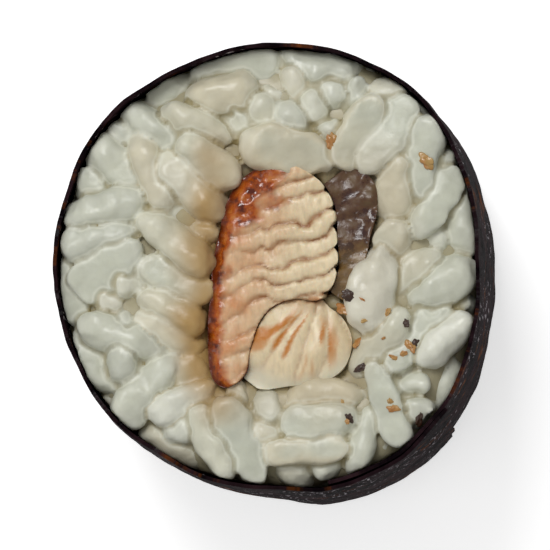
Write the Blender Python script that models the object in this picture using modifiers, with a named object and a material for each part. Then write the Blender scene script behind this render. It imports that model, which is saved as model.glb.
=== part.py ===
"""Eel maki: one cut piece of a sushi roll, standing on its lower cut face.

A sheet of nori wraps a bed of rice, and strips of grilled eel run through the rice from
cut to cut. Run it with blender --background --python part.py, or from the text editor.
Metres, +Z up. The origin is the middle of the lower cut face.
"""

import math

import bmesh
import bpy
from mathutils import Matrix, Vector, noise

MM = 0.001
WELD = 0.001 * MM  # corners closer than this are one
ROUNDING_STEPS = 4  # straight pieces between two points of an outline

# Driving dimensions
ROLL_HEIGHT = 25.5 * MM  # between the two knife cuts
RICE_RADIUS = 14.7 * MM  # mean radius of the packed rice
NORI_SHEET_WIDTH = 105.0 * MM  # half a sheet, the length that is wound round the rice
NORI_THICKNESS = 0.3 * MM
GAP = 0.3 * MM  # between neighbouring pieces
LAP_GAP = 0.15 * MM  # between the two layers of nori at the lap
BEYOND = 3 * MM  # how far a cutter stands out past the two cuts

# The outline of the roll, squeezed by hand: each is a share of the radius and a direction
TALLNESS, TALL_AT = 0.022, math.radians(95)
LOPSIDE, LOPSIDE_AT = 0.016, math.radians(300)
SQUARENESS, SQUARE_AT = 0.012, math.radians(48)

# The wrap
LAP_START = math.radians(285)  # where the sheet's inner edge lies
LAP_RAMP = math.radians(14)  # the turn in which the sheet climbs over that edge
WRAP_STEP = math.radians(5)
GIRTH_STEPS = 360  # for the sum that gives the length of one turn
WALL_BANDS = 5  # level bands in every tall wall
NORI_TOP = ROLL_HEIGHT - 0.2 * MM
NORI_CUT_WAVE = 0.25 * MM  # how far the cut edge wanders up and down

# The rice
RICE_OUTLINE_POINTS = 24
RICE_VOXEL = 1.4 * MM
RIM_FROM = 0.75  # share of the radius at which the rim begins
GRAIN_SPACING = 4.2 * MM
RICE_LUMP = 0.9 * MM  # relief of the grains on the upper cut
RICE_DENT = 0.35 * MM  # relief of the grains against the nori, always inwards
RELIEF_DEPTH = 5.0 * MM  # how far below the upper cut its relief dies out
SUNK_RIM = 1.3 * MM  # how far the rice lies below the nori's edge on one side
SUNK_RIM_AT = math.radians(128)

# The eel, as outlines in millimetres across the roll
FILLET_OUTLINE = [
    (0.3, 7.0),
    (2.5, 6.5),
    (4.1, 4.9),
    (4.6, 2.0),
    (4.5, -1.0),
    (3.6, -2.3),
    (1.4, -2.3),
    (-0.4, -3.4),
    (-1.3, -5.6),
    (-2.0, -7.9),
    (-3.5, -8.3),
    (-4.3, -6.0),
    (-4.2, -2.5),
    (-3.6, 2.2),
    (-2.2, 5.8),
]
SKIN_OUTLINE = [
    (4.6, 6.4),
    (6.8, 6.2),
    (7.4, 4.4),
    (6.9, 2.0),
    (6.3, -0.7),
    (5.6, -2.6),
    (4.9, -2.4),
    (5.0, 0.0),
    (5.0, 3.0),
    (4.5, 5.2),
]
FLAKE_OUTLINE = [
    (0.1, -3.7),
    (1.5, -2.75),
    (3.8, -2.8),
    (5.3, -4.1),
    (5.5, -6.2),
    (4.2, -7.8),
    (1.4, -8.3),
    (-1.4, -8.1),
    (-0.8, -5.8),
]
FLAKE_TILT = math.radians(18)  # the flakes of the flesh rise to the right by this
FLAKE_PITCH = 1.15 * MM
FLAKE_GROOVE = 0.35 * MM
FILLET_TOP = ROLL_HEIGHT + 0.1 * MM
SKIN_TOP = ROLL_HEIGHT - 0.1 * MM
FLAKE_TOP = ROLL_HEIGHT - 0.3 * MM

# The whole roll, as it stands
BARREL = 0.018  # share by which the middle of the height stands wider than the cuts
TWIST = math.radians(5)  # turn of the upper cut against the lower one

COLOURS = {
    "nori": ((0.012, 0.009, 0.009), 0.42),
    "rice": ((0.68, 0.68, 0.59), 0.45),
    "eel_flesh": ((0.62, 0.42, 0.24), 0.40),
    "eel_skin": ((0.09, 0.055, 0.04), 0.35),
}


def clear_scene():
    for obj in list(bpy.data.objects):
        bpy.data.objects.remove(obj, do_unlink=True)


def make_collection(name):
    collection = bpy.data.collections.new(name)
    bpy.context.scene.collection.children.link(collection)
    return collection


def make_material(name):
    colour, roughness = COLOURS[name]
    material = bpy.data.materials.new(name)
    material.use_nodes = True
    shader = material.node_tree.nodes["Principled BSDF"]
    shader.inputs["Base Color"].default_value = (*colour, 1.0)
    shader.inputs["Roughness"].default_value = roughness
    shader.inputs["Metallic"].default_value = 0.0
    material.diffuse_color = (*colour, 1.0)
    return material


def add_object(name, mesh, collection, material=None):
    obj = bpy.data.objects.new(name, mesh)
    collection.objects.link(obj)
    if material:
        mesh.materials.clear()
        mesh.materials.append(material)
    return obj


def evaluated_mesh(obj):
    graph = bpy.context.evaluated_depsgraph_get()
    return bpy.data.meshes.new_from_object(obj.evaluated_get(graph))


def rice_radius(angle):
    """Distance from the roll's axis to the outside of the rice in this direction."""
    tall = TALLNESS * math.cos(2 * (angle - TALL_AT))
    lopside = LOPSIDE * math.cos(3 * (angle - LOPSIDE_AT))
    square = SQUARENESS * math.cos(4 * (angle - SQUARE_AT))
    return RICE_RADIUS * (1 + tall + lopside + square)


def around(radius, angle, z=0.0):
    return Vector((radius * math.cos(angle), radius * math.sin(angle), z))


def smooth_step(t):
    t = min(max(t, 0.0), 1.0)
    return t * t * (3 - 2 * t)


def prism(name, points, bottom, top, collection, grow=0.0):
    """A smooth closed outline through the points, standing from bottom to top."""
    curve = bpy.data.curves.new(name, "CURVE")
    curve.dimensions = "2D"
    curve.fill_mode = "BOTH"
    curve.resolution_u = ROUNDING_STEPS
    curve.extrude = (top - bottom) / 2
    curve.offset = grow
    spline = curve.splines.new("BEZIER")
    spline.bezier_points.add(len(points) - 1)
    for control, (x, y) in zip(spline.bezier_points, points):
        control.co = (x, y, 0.0)
        control.handle_left_type = "AUTO"
        control.handle_right_type = "AUTO"
    spline.use_cyclic_u = True
    outline = add_object(name + "_outline", curve, collection)
    outline.location.z = (top + bottom) / 2
    bpy.context.view_layer.update()

    mesh = evaluated_mesh(outline)
    mesh.transform(outline.matrix_world)
    bpy.data.objects.remove(outline)
    shape = bmesh.new()
    shape.from_mesh(mesh)
    bmesh.ops.remove_doubles(shape, verts=shape.verts, dist=WELD)
    bmesh.ops.recalc_face_normals(shape, faces=shape.faces)
    for side in (-1, 1):
        cap = [face for face in shape.faces if face.normal.z * side > 0.9]
        bmesh.ops.dissolve_faces(shape, faces=cap)
    shape.to_mesh(mesh)
    shape.free()
    mesh.name = name
    return add_object(name, mesh, collection)


def in_metres(outline):
    return [(x * MM, y * MM) for x, y in outline]


def settle(obj):
    """Gives a piece its share of the whole roll's barrel shape and twist."""
    for vertex in obj.data.vertices:
        share = min(max(vertex.co.z / ROLL_HEIGHT, 0.0), 1.0)
        wider = 1 + BARREL * math.sin(math.pi * share)
        turn = Matrix.Rotation(TWIST * (share - 1), 3, "Z")
        flat = turn @ Vector((vertex.co.x, vertex.co.y, 0.0)) * wider
        vertex.co.x, vertex.co.y = flat.x, flat.y


def slice_in_bands(obj, bands):
    """Adds level edge loops, so that a tall wall can follow the barrel shape."""
    shape = bmesh.new()
    shape.from_mesh(obj.data)
    for band in range(1, bands):
        bmesh.ops.bisect_plane(
            shape,
            geom=shape.verts[:] + shape.edges[:] + shape.faces[:],
            plane_co=(0, 0, ROLL_HEIGHT * band / bands),
            plane_no=(0, 0, 1),
        )
    shape.to_mesh(obj.data)
    shape.free()


def score_flakes(obj):
    """Cuts the upper face into strips along the flakes and lowers every second line."""
    across = Vector((-math.sin(FLAKE_TILT), math.cos(FLAKE_TILT), 0.0))
    shape = bmesh.new()
    shape.from_mesh(obj.data)
    top = max(vertex.co.z for vertex in shape.verts)
    reach = [vertex.co.dot(across) for vertex in shape.verts]
    half_pitch = FLAKE_PITCH / 2
    lines = range(math.ceil(min(reach) / half_pitch), math.floor(max(reach) / half_pitch) + 1)
    for line in lines:
        cap = [face for face in shape.faces if face.normal.z > 0.9]
        rim = {edge for face in cap for edge in face.edges}
        corners = {vertex for face in cap for vertex in face.verts}
        bmesh.ops.bisect_plane(
            shape,
            geom=[*corners, *rim, *cap],
            plane_co=across * (line * half_pitch),
            plane_no=across,
        )
    bmesh.ops.triangulate(shape, faces=[f for f in shape.faces if f.normal.z > 0.9])
    for vertex in shape.verts:
        line = vertex.co.dot(across) / half_pitch
        on_groove = abs(line - round(line)) < 0.01 and round(line) % 2
        if on_groove and top - vertex.co.z < 0.01 * MM:
            vertex.co.z -= FLAKE_GROOVE
    shape.to_mesh(obj.data)
    shape.free()


def build_nori(collection):
    """The sheet: a wall on a line that goes once round the rice and laps over itself."""
    seat = GAP + NORI_THICKNESS / 2
    step = math.tau / GIRTH_STEPS
    girth = sum(rice_radius(step * i) + seat for i in range(GIRTH_STEPS)) * step
    lap_radius = rice_radius(LAP_START) + seat
    lap_turn = (NORI_SHEET_WIDTH - girth) / lap_radius
    full_turn = math.tau + lap_turn
    count = round(full_turn / WRAP_STEP)
    lift = NORI_THICKNESS + LAP_GAP

    shape = bmesh.new()
    foot = []
    for i in range(count + 1):
        turn = full_turn * i / count
        angle = LAP_START + turn
        climb = smooth_step((turn - (math.tau - LAP_RAMP)) / LAP_RAMP)
        foot.append(shape.verts.new(around(rice_radius(angle) + seat + lift * climb, angle)))
    edges = [shape.edges.new(pair) for pair in zip(foot, foot[1:])]
    for _ in range(WALL_BANDS):
        rise = bmesh.ops.extrude_edge_only(shape, edges=edges)
        edges = [e for e in rise["geom"] if isinstance(e, bmesh.types.BMEdge)]
        raised = [v for v in rise["geom"] if isinstance(v, bmesh.types.BMVert)]
        bmesh.ops.translate(shape, verts=raised, vec=(0, 0, NORI_TOP / WALL_BANDS))
    for vertex in shape.verts:
        share = vertex.co.z / NORI_TOP
        angle = math.atan2(vertex.co.y, vertex.co.x)
        wave = math.sin(3 * angle + 1.0) + 0.6 * math.sin(7 * angle)
        vertex.co.z += NORI_CUT_WAVE * wave * max(share - 0.5, 0.0)
    bmesh.ops.recalc_face_normals(shape, faces=shape.faces)

    mesh = bpy.data.meshes.new("nori_wrap")
    shape.to_mesh(mesh)
    shape.free()
    nori = add_object("nori_wrap", mesh, collection, make_material("nori"))
    settle(nori)
    wall = nori.modifiers.new("sheet", "SOLIDIFY")
    wall.thickness = NORI_THICKNESS
    wall.offset = 0.0
    mesh.shade_smooth()
    mesh.set_sharp_from_angle(angle=math.radians(35))
    return nori


def grain_relief(point):
    """From 0 in the cracks between grains to 1 on the grains' backs."""
    nearest, _ = noise.voronoi(point / GRAIN_SPACING)
    return max(1.0 - nearest[0] ** 2, 0.0)


def build_rice(collection, cutters):
    """The packed rice, out to its lumpy faces, with a way through it for the eel."""
    angles = [math.tau * i / RICE_OUTLINE_POINTS for i in range(RICE_OUTLINE_POINTS)]
    points = [tuple(around(rice_radius(a), a).xy) for a in angles]
    top = ROLL_HEIGHT - RICE_LUMP / 2
    rice = prism("rice_bed", points, 0.0, top, collection)
    grid = rice.modifiers.new("grid", "REMESH")
    grid.mode = "VOXEL"
    grid.voxel_size = RICE_VOXEL
    mesh = evaluated_mesh(rice)
    rice.modifiers.clear()
    rice.data = mesh

    for vertex in mesh.vertices:
        co = vertex.co
        angle = math.atan2(co.y, co.x)
        outwards = co.xy.length / rice_radius(angle)
        relief = grain_relief(co)
        rim = smooth_step((outwards - RIM_FROM) / (1 - RIM_FROM))
        inwards = 1 - RICE_DENT * (1 - relief) * rim / co.xy.length
        co.x *= inwards
        co.y *= inwards
        sunk = SUNK_RIM * rim * max(math.cos(angle - SUNK_RIM_AT), 0.0) ** 2
        upper = smooth_step((co.z - top + RELIEF_DEPTH) / RELIEF_DEPTH)
        co.z += upper * (RICE_LUMP * (relief - 0.5) - sunk)
        if co.z < RICE_VOXEL / 2:
            co.z = 0.0
    for cutter in cutters:
        cut = rice.modifiers.new("room for " + cutter.name, "BOOLEAN")
        cut.operation = "DIFFERENCE"
        cut.solver = "EXACT"
        cut.object = cutter
    cut_mesh = evaluated_mesh(rice)
    rice.modifiers.clear()
    rice.data = cut_mesh
    cut_mesh.materials.clear()
    cut_mesh.materials.append(make_material("rice"))
    settle(rice)
    cut_mesh.shade_smooth()
    cut_mesh.set_sharp_from_angle(angle=math.radians(50))
    return rice


def build_eel(name, outline, top, material, collection, flaked):
    """One strip of eel, from cut to cut, with its flakes on the upper face."""
    strip = prism(name, in_metres(outline), 0.0, top, collection)
    strip.data.materials.append(material)
    slice_in_bands(strip, WALL_BANDS)
    if flaked:
        score_flakes(strip)
    settle(strip)
    return strip


def build_cutter(name, outline, collection):
    room = in_metres(outline)
    cutter = prism(name + "_room", room, -BEYOND, ROLL_HEIGHT + BEYOND, collection, grow=GAP)
    slice_in_bands(cutter, WALL_BANDS)
    cutter.hide_render = True
    cutter.display_type = "WIRE"
    return cutter


def main():
    clear_scene()
    parts = make_collection("eel_maki")
    helpers = make_collection("cutters")
    strips = [
        ("eel_fillet", FILLET_OUTLINE, FILLET_TOP, True),
        ("eel_skin", SKIN_OUTLINE, SKIN_TOP, False),
        ("eel_flake", FLAKE_OUTLINE, FLAKE_TOP, True),
    ]
    cutters = [build_cutter(name, outline, helpers) for name, outline, _, _ in strips]
    build_rice(parts, cutters)
    build_nori(parts)
    flesh = make_material("eel_flesh")
    skin = make_material("eel_skin")
    for name, outline, top, flaked in strips:
        build_eel(name, outline, top, flesh if flaked else skin, parts, flaked)


main()
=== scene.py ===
# %% [markdown]
# # A piece of eel maki
# This is one piece cut from a thin sushi roll: nori wound round packed rice, with
# grilled eel running through the middle. The piece stands on its lower cut face, so
# the upper cut face is the picture. The solids in the frame are plain. They say where
# everything is, and each is replaced here by a piece with the surface of the real thing.

# %% Load the frame
import math

import bmesh
import bpy
import numpy as np
from mathutils import Matrix, Vector, noise
from mathutils.bvhtree import BVHTree


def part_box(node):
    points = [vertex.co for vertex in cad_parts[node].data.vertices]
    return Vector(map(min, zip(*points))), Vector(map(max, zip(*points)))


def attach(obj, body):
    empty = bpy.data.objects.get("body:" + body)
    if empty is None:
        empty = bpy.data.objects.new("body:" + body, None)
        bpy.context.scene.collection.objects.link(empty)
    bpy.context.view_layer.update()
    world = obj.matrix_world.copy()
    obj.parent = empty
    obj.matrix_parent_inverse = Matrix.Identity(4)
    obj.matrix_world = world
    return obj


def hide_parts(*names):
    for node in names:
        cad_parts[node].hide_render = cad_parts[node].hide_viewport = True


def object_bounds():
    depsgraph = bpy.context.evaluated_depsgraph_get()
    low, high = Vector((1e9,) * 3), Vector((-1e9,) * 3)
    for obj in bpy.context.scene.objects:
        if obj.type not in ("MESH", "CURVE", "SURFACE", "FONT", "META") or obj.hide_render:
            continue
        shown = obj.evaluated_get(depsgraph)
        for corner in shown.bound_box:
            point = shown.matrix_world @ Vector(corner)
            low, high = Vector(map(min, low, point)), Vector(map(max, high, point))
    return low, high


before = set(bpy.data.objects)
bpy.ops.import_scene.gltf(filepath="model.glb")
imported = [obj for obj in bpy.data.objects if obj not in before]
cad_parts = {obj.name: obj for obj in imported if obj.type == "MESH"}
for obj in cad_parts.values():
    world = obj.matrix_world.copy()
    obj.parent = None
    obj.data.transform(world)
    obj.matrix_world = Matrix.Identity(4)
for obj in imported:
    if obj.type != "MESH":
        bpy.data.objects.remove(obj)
cad_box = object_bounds()
MM = 0.001
BODY = "root"
print("nodes", sorted(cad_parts))
print("box in mm", [[round(x / MM, 1) for x in corner] for corner in cad_box])

# %% [markdown]
# ## Heights and outlines from the frame
# Every size below is read from the solids. A BVH tree answers two questions quickly:
# how far is the nearest wall, and where does a ray meet the surface. It is built from
# a merged copy, because a solid from the frame is a bag of loose triangles.


# %% Merge a copy of a solid and build its search tree
def merged_copy(node, name):
    """A mesh of its own with the node's shape, its triangles joined at their corners."""
    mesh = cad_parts[node].data.copy()
    mesh.name = name
    mesh.materials.clear()
    shape = bmesh.new()
    shape.from_mesh(mesh)
    bmesh.ops.remove_doubles(shape, verts=shape.verts, dist=0.002 * MM)
    shape.to_mesh(mesh)
    shape.free()
    return mesh


def tree_of(mesh):
    corners = [vertex.co for vertex in mesh.vertices]
    return BVHTree.FromPolygons(corners, [tuple(face.vertices) for face in mesh.polygons])


def search_tree(node):
    mesh = merged_copy(node, node + "_search")
    tree = tree_of(mesh)
    bpy.data.meshes.remove(mesh)
    return tree


def level_probe(point, margin):
    """The point, kept this far from both cut faces, where a search meets side walls only."""
    return Vector((point[0], point[1], min(max(point[2], FOOT + margin), FACE - margin)))


def in_scene(name, data):
    """A new object that holds this data, linked to the scene."""
    obj = bpy.data.objects.new(name, data)
    bpy.context.scene.collection.objects.link(obj)
    return obj


TREES = {node: search_tree(node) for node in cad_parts}
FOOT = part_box("rice_bed")[0].z
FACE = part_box("nori_wrap")[1].z
MIDDLE = (FOOT + FACE) / 2
print("cut faces at", round(FOOT / MM, 2), "and", round(FACE / MM, 2), "mm")

# %% [markdown]
# ## The picture
# The real piece is seen from almost straight above, a little from the front and from
# its right, so a narrow crescent of the wrap shows along the lower right. A long lens
# from 40 cm keeps the two ends nearly the same size, as they are from across a table.

# %% Camera
CAMERA_AZIMUTH = math.radians(50)
CAMERA_ELEVATION = math.radians(84.5)
CAMERA_DISTANCE = 0.42
TARGET_DEPTH = 8 * MM  # below the cut face
FRAME_FILL = 0.82  # share of the frame's width that the piece takes


def aim(thing, eye, target, up):
    """Puts a camera or lamp at eye, looking at target, with this direction upwards."""
    back = (eye - target).normalized()
    right = up.cross(back).normalized()
    turn = Matrix((right, back.cross(right), back)).transposed()
    thing.matrix_world = Matrix.Translation(eye) @ turn.to_4x4()


def from_target(azimuth, elevation, distance):
    level = math.cos(elevation) * distance
    return Vector((math.sin(azimuth) * level, -math.cos(azimuth) * level, math.sin(elevation) * distance))


low, high = cad_box
target = Vector(((low.x + high.x) / 2, (low.y + high.y) / 2, FACE - TARGET_DEPTH))
camera_data = bpy.data.cameras.new("camera")
camera = in_scene("camera", camera_data)
eye = target + from_target(CAMERA_AZIMUTH, CAMERA_ELEVATION, CAMERA_DISTANCE)
aim(camera, eye, target, Vector((0, 1, 0)))
widest = max(high.x - low.x, high.y - low.y)
camera_data.lens = camera_data.sensor_width / 2 / (widest / FRAME_FILL / 2 / CAMERA_DISTANCE)
camera_data.clip_start = 0.01
bpy.context.scene.camera = camera
print("lens in mm", round(camera_data.lens))

# %% [markdown]
# ## Light and floor
# Moist rice needs a soft lamp for its small highlights, a weaker one from the side, and
# a pale room for everything else. The lamps and the room add up to plain light, under which a colour
# renders about as it is written. The floor is pale and keeps the soft shadow.

# %% Lamps, room and floor
ROOM_LIGHT = 0.40
FLOOR_SIZE = 1.2
FLOOR_COLOUR = (0.93, 0.93, 0.93, 1.0)
FLOOR_GLOW = 0.53  # seen by the eye and in reflections, so it doesn't light the piece
FLOOR_GAP = 0.05 * MM


def add_lamp(name, azimuth, elevation, distance, size, share):
    """A square softbox. Share is the part of plain full light that it gives at the piece."""
    lamp_data = bpy.data.lights.new(name, "AREA")
    lamp_data.shape = "SQUARE"
    lamp_data.size = size
    lamp_data.energy = share * (math.pi * distance) ** 2
    lamp = in_scene(name, lamp_data)
    place = target + from_target(math.radians(azimuth), math.radians(elevation), distance)
    aim(lamp, place, target, Vector((0, 1, 0)))


add_lamp("softbox_over", azimuth=200, elevation=60, distance=0.5, size=0.17, share=0.46)
add_lamp("softbox_side", azimuth=-60, elevation=45, distance=0.5, size=0.30, share=0.12)

room = bpy.data.worlds.new("pale_room")
bpy.context.scene.world = room
room.use_nodes = True
room.node_tree.nodes["Background"].inputs["Color"].default_value = (1, 1, 1, 1)
room.node_tree.nodes["Background"].inputs["Strength"].default_value = ROOM_LIGHT
bpy.context.scene.view_settings.view_transform = "Standard"


def floor_finish():
    """Pale card. The glow reaches only the eye and mirrors, so the shadow stays."""
    material = bpy.data.materials.new("floor")
    material.use_nodes = True
    tree = material.node_tree
    shader = tree.nodes["Principled BSDF"]
    shader.inputs["Base Color"].default_value = FLOOR_COLOUR
    shader.inputs["Roughness"].default_value = 0.9
    shader.inputs["Emission Color"].default_value = (1, 1, 1, 1)
    path = tree.nodes.new("ShaderNodeLightPath")
    seen = path.outputs["Is Camera Ray"]
    for ray in ("Is Glossy Ray", "Is Transmission Ray"):
        either = tree.nodes.new("ShaderNodeMath")
        either.operation = "MAXIMUM"
        tree.links.new(seen, either.inputs[0])
        tree.links.new(path.outputs[ray], either.inputs[1])
        seen = either.outputs[0]
    glow = tree.nodes.new("ShaderNodeMath")
    glow.operation = "MULTIPLY"
    glow.inputs[1].default_value = FLOOR_GLOW
    tree.links.new(seen, glow.inputs[0])
    tree.links.new(glow.outputs[0], shader.inputs["Emission Strength"])
    return material


bpy.ops.mesh.primitive_plane_add(size=FLOOR_SIZE, location=(0, 0, FOOT - FLOOR_GAP))
floor = bpy.context.object
floor.name = "floor"
floor.data.materials.append(floor_finish())

# %% [markdown]
# ## Small tools for finishes
# A finish is a chain of shader nodes: patterns in, colour and gloss out. These helpers
# keep each chain short enough to read. Colours are written as sRGB, the numbers that a
# colour picker gives, and turned to the linear light that Blender computes with.


# %% Shader helpers
def srgb(red, green, blue):
    """Linear RGBA of a colour given as 0 to 255."""
    shares = (red / 255, green / 255, blue / 255)
    linear = [c / 12.92 if c <= 0.04045 else ((c + 0.055) / 1.055) ** 2.4 for c in shares]
    return (*linear, 1.0)


def start_finish(name, roughness, subsurface=0.0):
    """A new material, its node tree and its shader."""
    material = bpy.data.materials.new(name)
    material.use_nodes = True
    tree = material.node_tree
    shader = tree.nodes["Principled BSDF"]
    shader.inputs["Roughness"].default_value = roughness
    shader.inputs["Subsurface Weight"].default_value = subsurface
    return material, tree, shader


def attribute(tree, name, output="Fac"):
    node = tree.nodes.new("ShaderNodeAttribute")
    node.attribute_name = name
    return node.outputs[output]


def place_on(tree, stretch=(1, 1, 1), source=None):
    """Coordinates for a pattern: the object's own, or an attribute, stretched by axis."""
    if source is None:
        source = tree.nodes.new("ShaderNodeTexCoord").outputs["Object"]
    mapping = tree.nodes.new("ShaderNodeMapping")
    mapping.inputs["Scale"].default_value = stretch
    tree.links.new(source, mapping.inputs["Vector"])
    return mapping.outputs["Vector"]


def mottle(tree, coordinates, grain, detail=3.0, roughness=0.5, distortion=0.0):
    """Noise whose lumps are about this many metres across."""
    node = tree.nodes.new("ShaderNodeTexNoise")
    node.inputs["Scale"].default_value = 1 / grain
    node.inputs["Detail"].default_value = detail
    node.inputs["Roughness"].default_value = roughness
    node.inputs["Distortion"].default_value = distortion
    tree.links.new(coordinates, node.inputs["Vector"])
    return node.outputs["Fac"]


def ramp(tree, value, *stops):
    """A straight ramp through (position, colour or grey) stops."""
    node = tree.nodes.new("ShaderNodeValToRGB")
    elements = node.color_ramp.elements
    while len(elements) < len(stops):
        elements.new(0.5)
    for element, (position, colour) in zip(elements, stops):
        element.position = position
        element.color = colour if isinstance(colour, tuple) else (colour, colour, colour, 1)
    tree.links.new(value, node.inputs["Fac"])
    return node.outputs["Color"]


def blend_colours(tree, share, first, second, mode="MIX"):
    node = tree.nodes.new("ShaderNodeMix")
    node.data_type = "RGBA"
    node.blend_type = mode
    node.clamp_factor = True
    for socket, value in zip((node.inputs[0], node.inputs[6], node.inputs[7]), (share, first, second)):
        if isinstance(value, bpy.types.NodeSocket):
            tree.links.new(value, socket)
        else:
            socket.default_value = value
    return node.outputs[2]


def combine(tree, operation, *values):
    """Arithmetic on sockets and numbers, in a finish or in a geometry tree."""
    node = tree.nodes.new("ShaderNodeMath")
    node.operation = operation
    for socket, value in zip(node.inputs, values):
        if isinstance(value, bpy.types.NodeSocket):
            tree.links.new(value, socket)
        else:
            socket.default_value = value
    return node.outputs[0]


def emboss(tree, shader, height, depth):
    """Bump of this depth in metres, where the height runs from 0 to 1."""
    node = tree.nodes.new("ShaderNodeBump")
    node.inputs["Strength"].default_value = 1.0
    node.inputs["Distance"].default_value = depth
    tree.links.new(height, node.inputs["Height"])
    tree.links.new(node.outputs["Normal"], shader.inputs["Normal"])
    return node.outputs["Normal"]


# %% [markdown]
# ## Rice, first the grain
# A cooked short grain is about 7 mm long and 3 mm thick. It is plump, blunt at both
# ends, a little bent, a little flat, and has a nick at one end where the germ was.
# A stretched ball with a formula for its width gives that. A few different grains are
# enough, because each copy also gets its own turn, size and dents.

# %% Make the master grains
GRAIN_LENGTH = 6.4 * MM
GRAIN_WIDTH = 3.25 * MM
GRAIN_DEPTH = 2.85 * MM
GRAIN_RINGS = 22
GRAIN_SPOKES = 26
GRAIN_KINDS = 8
chance = np.random.default_rng(31)


def add_grain(name, bend, blunt, nick, flat, ridge, ridge_turn):
    """One grain along X, about its own middle. Its share along the length is stored."""
    shape = bmesh.new()
    bmesh.ops.create_uvsphere(shape, u_segments=GRAIN_SPOKES, v_segments=GRAIN_RINGS, radius=1.0)
    along = []
    for vertex in shape.verts:
        axis, side, up = vertex.co.z, vertex.co.x, vertex.co.y
        ring = math.hypot(side, up) or 1.0
        around = math.atan2(up, side) + ridge_turn
        faceted = 1 + ridge * (math.cos(3 * around) + 0.6 * math.cos(5 * around + 1.0))
        plump = max(1 - abs(axis) ** blunt, 0.0) ** 0.5 * (1 - 0.13 * axis)
        dent = nick * math.exp(-(((axis - 0.80) / 0.22) ** 2)) * max(side / ring, 0.0) ** 2
        width = (plump * faceted - dent) * GRAIN_WIDTH / 2
        depth = plump * faceted * (1 - flat) * GRAIN_DEPTH / 2
        vertex.co = Vector((axis * GRAIN_LENGTH / 2, side / ring * width + bend * axis**2, up / ring * depth))
        along.append(abs(axis))
    mesh = bpy.data.meshes.new(name)
    shape.to_mesh(mesh)
    shape.free()
    mesh.attributes.new("along", "FLOAT", "POINT").data.foreach_set("value", along)
    grain_kinds.objects.link(bpy.data.objects.new(name, mesh))


grain_kinds = bpy.data.collections.new("grain_kinds")
for kind in range(GRAIN_KINDS):
    add_grain(
        f"grain_{kind}",
        bend=chance.uniform(-0.5, 0.5) * MM,
        blunt=chance.uniform(2.7, 4.2),
        nick=chance.uniform(0.1, 0.45),
        flat=chance.uniform(0.0, 0.22),
        ridge=chance.uniform(0.015, 0.05),
        ridge_turn=chance.uniform(0, math.tau),
    )

# %% [markdown]
# ## Rice, then the packing
# Scattering grains at random leaves holes and collisions. Real grains were pressed
# together, so this packs them: each grain is a short chain of balls, and the balls push
# each other apart, stay off the eel and the nori, and rise against the cut face. Balls
# overlap a good deal, as soft rice does. A few grains that the knife left lying on
# the face are listed and put there, and the rest make room for them. Only the grains near
# the two cut faces are made, because the wrap hides the others.

# %% Pack the grains
BALL_STATIONS = np.array([-0.62, -0.21, 0.21, 0.62])  # along half the grain's length
BALL_RADIUS = 1.40 * MM
SOFTNESS = 0.79  # share of the full distance that two grains keep
WALL_SHARE = 0.48  # share of a ball's radius that it keeps from a side wall
PACK_STEPS = 220
WALL_DEPTH = 5 * MM  # below the cut, where a probe meets only the side walls
SAG_DEPTH = 1.0 * MM  # beside the crust the rice has sunk
SAG_REACH = 3.0 * MM
UPPER_COUNT = 150
UPPER_DEPTH = 5.2 * MM
LOWER_COUNT = 95
LOWER_DEPTH = 3.4 * MM
RISE = 0.08 * MM  # how far the first step lifts a grain towards the cut

# Middle across and up the face, direction in degrees, length: all seen from above.
LOOSE_GRAINS = (
    (7.0 * MM, -1.7 * MM, 84, 6.9 * MM),
    (12.0 * MM, -5.2 * MM, 43, 5.2 * MM),
    (-6.2 * MM, -9.4 * MM, 20, 6.0 * MM),
)


def rice_level(x, y, upper):
    """Height of the rice's own cut face here."""
    start = Vector((x, y, FACE + 20 * MM)) if upper else Vector((x, y, FOOT - 20 * MM))
    hit, _, _, _ = TREES["rice_bed"].ray_cast(start, Vector((0, 0, -1 if upper else 1)))
    if not hit:
        return None
    if not upper:
        return hit.z
    near = TREES["eel_fillet"].find_nearest(Vector((x, y, MIDDLE)))[3]
    beside = max(0.0, 1 - near / SAG_REACH) * min(max(-x / MM - 1.0, 0.0) / 2, 1.0)
    return hit.z - SAG_DEPTH * beside


def scatter_in_bed(count, upper, depth):
    """Random first places in the rice, within this depth of the cut."""
    places = []
    while len(places) < count:
        x, y = chance.uniform(-16 * MM, 16 * MM, 2)
        level = rice_level(x, y, upper)
        if level is None or abs(level - (FACE if upper else FOOT)) > 4 * MM:
            continue
        inwards = chance.uniform(0.5 * MM, depth)
        places.append((x, y, level - inwards if upper else level + inwards))
    return np.array(places)


def off_the_walls(balls):
    """Keeps each ball's middle most of a radius inside the rice's side walls."""
    for ball in balls:
        probe = level_probe(ball, WALL_DEPTH)
        spot, normal, _, _ = TREES["rice_bed"].find_nearest(probe)
        outside = (probe - spot).dot(normal) + BALL_RADIUS * WALL_SHARE
        if outside > 0:
            ball[0] -= normal.x * outside
            ball[1] -= normal.y * outside


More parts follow.
